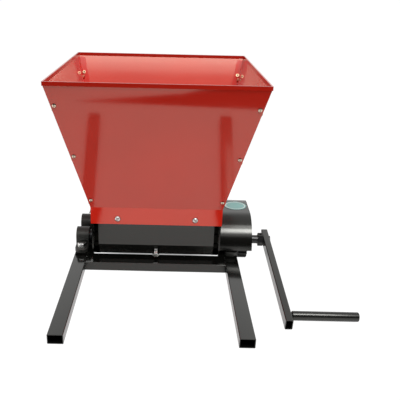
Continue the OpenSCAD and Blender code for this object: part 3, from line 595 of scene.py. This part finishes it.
# The camera sees the floor's paper as white with the machine's own shadow under it. Reflections
# see more of that shade near the machine, and the paper throws little light back from far away.
paper = bpy.data.materials.new("white_paper")
paper.use_nodes = True
paper_tree = paper.node_tree
paper_tree.nodes.clear()
plain = Shade(paper_tree, paper_tree.nodes.new("ShaderNodeBsdfDiffuse").outputs[0])
spot = Shade(paper_tree, paper_tree.nodes.new("ShaderNodeTexCoord").outputs["Object"])
low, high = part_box("front_cross_bar")
from_middle = spot.measure("DISTANCE", ((low.x + high.x) / 2, 0, 0))
far = from_middle.clamp(0.55, 0.95)
paper_colour = far.blend((0.97, 0.97, 0.97, 1), (0.1, 0.1, 0.1, 1))
paper_tree.links.new(paper_colour.socket, plain.socket.node.inputs["Color"])
glow = plain.node("Emission", Color=(1, 1, 1, 1), Strength=1.1)
mirrored = Shade(paper_tree, paper_tree.nodes.new("ShaderNodeLightPath").outputs["Is Glossy Ray"])
direct_share = from_middle.clamp(0.1, 0.17) * 0.67 + 0.25
mirrored_share = far * 0.47 + 0.45
glow_share = mirrored.node("Mix", i0=mirrored, i2=direct_share, i3=mirrored_share)
white = plain.node("MixShader", i0=seen_white(paper_tree) * glow_share, i1=plain, i2=glow)
paper_end = paper_tree.nodes.new("ShaderNodeOutputMaterial")
paper_tree.links.new(white.socket, paper_end.inputs["Surface"])
floor_reach, floor_gap = 30.0, 0.0005
floor_cut = bmesh.new()
bmesh.ops.create_grid(floor_cut, x_segments=1, y_segments=1, size=floor_reach)
floor = stage_sheet("floor", floor_cut, paper)
floor.location.z = -floor_gap

lamp_aim = (-0.185, 0.227)


def lamp(name, place, width, height, power):
    """A soft lamp that looks straight ahead and down, at the level of the hopper's front panel."""
    data = bpy.data.lights.new(name, "AREA")
    data.shape, data.size, data.size_y, data.energy = "RECTANGLE", width, height, power
    made = bpy.data.objects.new(name, data)
    made.location = place
    aim = Vector((place[0], *lamp_aim)) - Vector(place)
    made.rotation_mode = "QUATERNION"
    made.rotation_quaternion = aim.to_track_quat("-Z", "Y")
    bpy.context.scene.collection.objects.link(made)


lamp("broad_softbox", (0.0, -1.275, 1.905), width=2.0, height=0.64, power=7.8)
lamp("lower_softbox", (0.0, -1.29, 1.895), width=2.0, height=0.72, power=7.8)
lamp("right_softbox", (0.62, -1.195, 1.95), width=0.7, height=0.5, power=13.0)
lamp("upper_softbox", (0.62, -0.734, 2.249), width=0.9, height=0.6, power=6.0)

velvet = bpy.data.materials.new("black_velvet")
velvet.use_nodes = True
velvet_skin = velvet.node_tree.nodes["Principled BSDF"]
velvet_skin.inputs["Base Color"].default_value = (0.02, 0.02, 0.02, 1)
velvet_skin.inputs["Roughness"].default_value = 1.0


def black_card(name, corners):
    """A black card that hides a part of the room from reflections only."""
    cut = bmesh.new()
    cut.faces.new([cut.verts.new(corner) for corner in corners])
    made = stage_sheet(name, cut, velvet)
    made.visible_camera = made.visible_diffuse = made.visible_shadow = made.visible_transmission = False


card_half, card_back, card_top, card_lift = 2.5, -1.6, 1.2, 0.001
black_card("card_behind_camera", [(-card_half, card_back, 0), (card_half, card_back, 0),
                                  (card_half, card_back, card_top), (-card_half, card_back, card_top)])
floor_corners = ((-0.33, -0.489), (-0.03, -0.522), (0.23, -0.60), (0.23, -0.474))
black_card("card_on_floor", [(*corner, card_lift) for corner in floor_corners])


# Camera: a pinhole fitted to the corners of rails, hopper and crank. Its focal length and the
# point where its axis meets the picture are in pixels of the 400 by 400 frame.
picture = 400.0
focal_px, axis_px = 576.314, (166.242, 228.882)
yaw, pitch, roll = 0.00082, 0.4112, 0.02269
camera_place = (-0.07171, -1.31771, 0.61651)
right = Vector((math.cos(yaw), -math.sin(yaw), 0))
ahead = Vector((math.sin(yaw) * math.cos(pitch), math.cos(yaw) * math.cos(pitch), -math.sin(pitch)))
upward = right.cross(ahead)
turned_right = math.cos(roll) * right + math.sin(roll) * upward
turned_up = -math.sin(roll) * right + math.cos(roll) * upward
lens = bpy.data.cameras.new("camera")
lens.sensor_fit, lens.sensor_width = "HORIZONTAL", 36.0
lens.lens = focal_px / picture * lens.sensor_width
lens.shift_x = (picture / 2 - axis_px[0]) / picture
lens.shift_y = (axis_px[1] - picture / 2) / picture
camera = bpy.data.objects.new("camera", lens)
pose = Matrix((turned_right, turned_up, -ahead)).transposed().to_4x4()
pose.translation = camera_place
camera.matrix_world = pose
bpy.context.scene.collection.objects.link(camera)
bpy.context.scene.camera = camera
bpy.context.scene.view_settings.view_transform = "Standard"
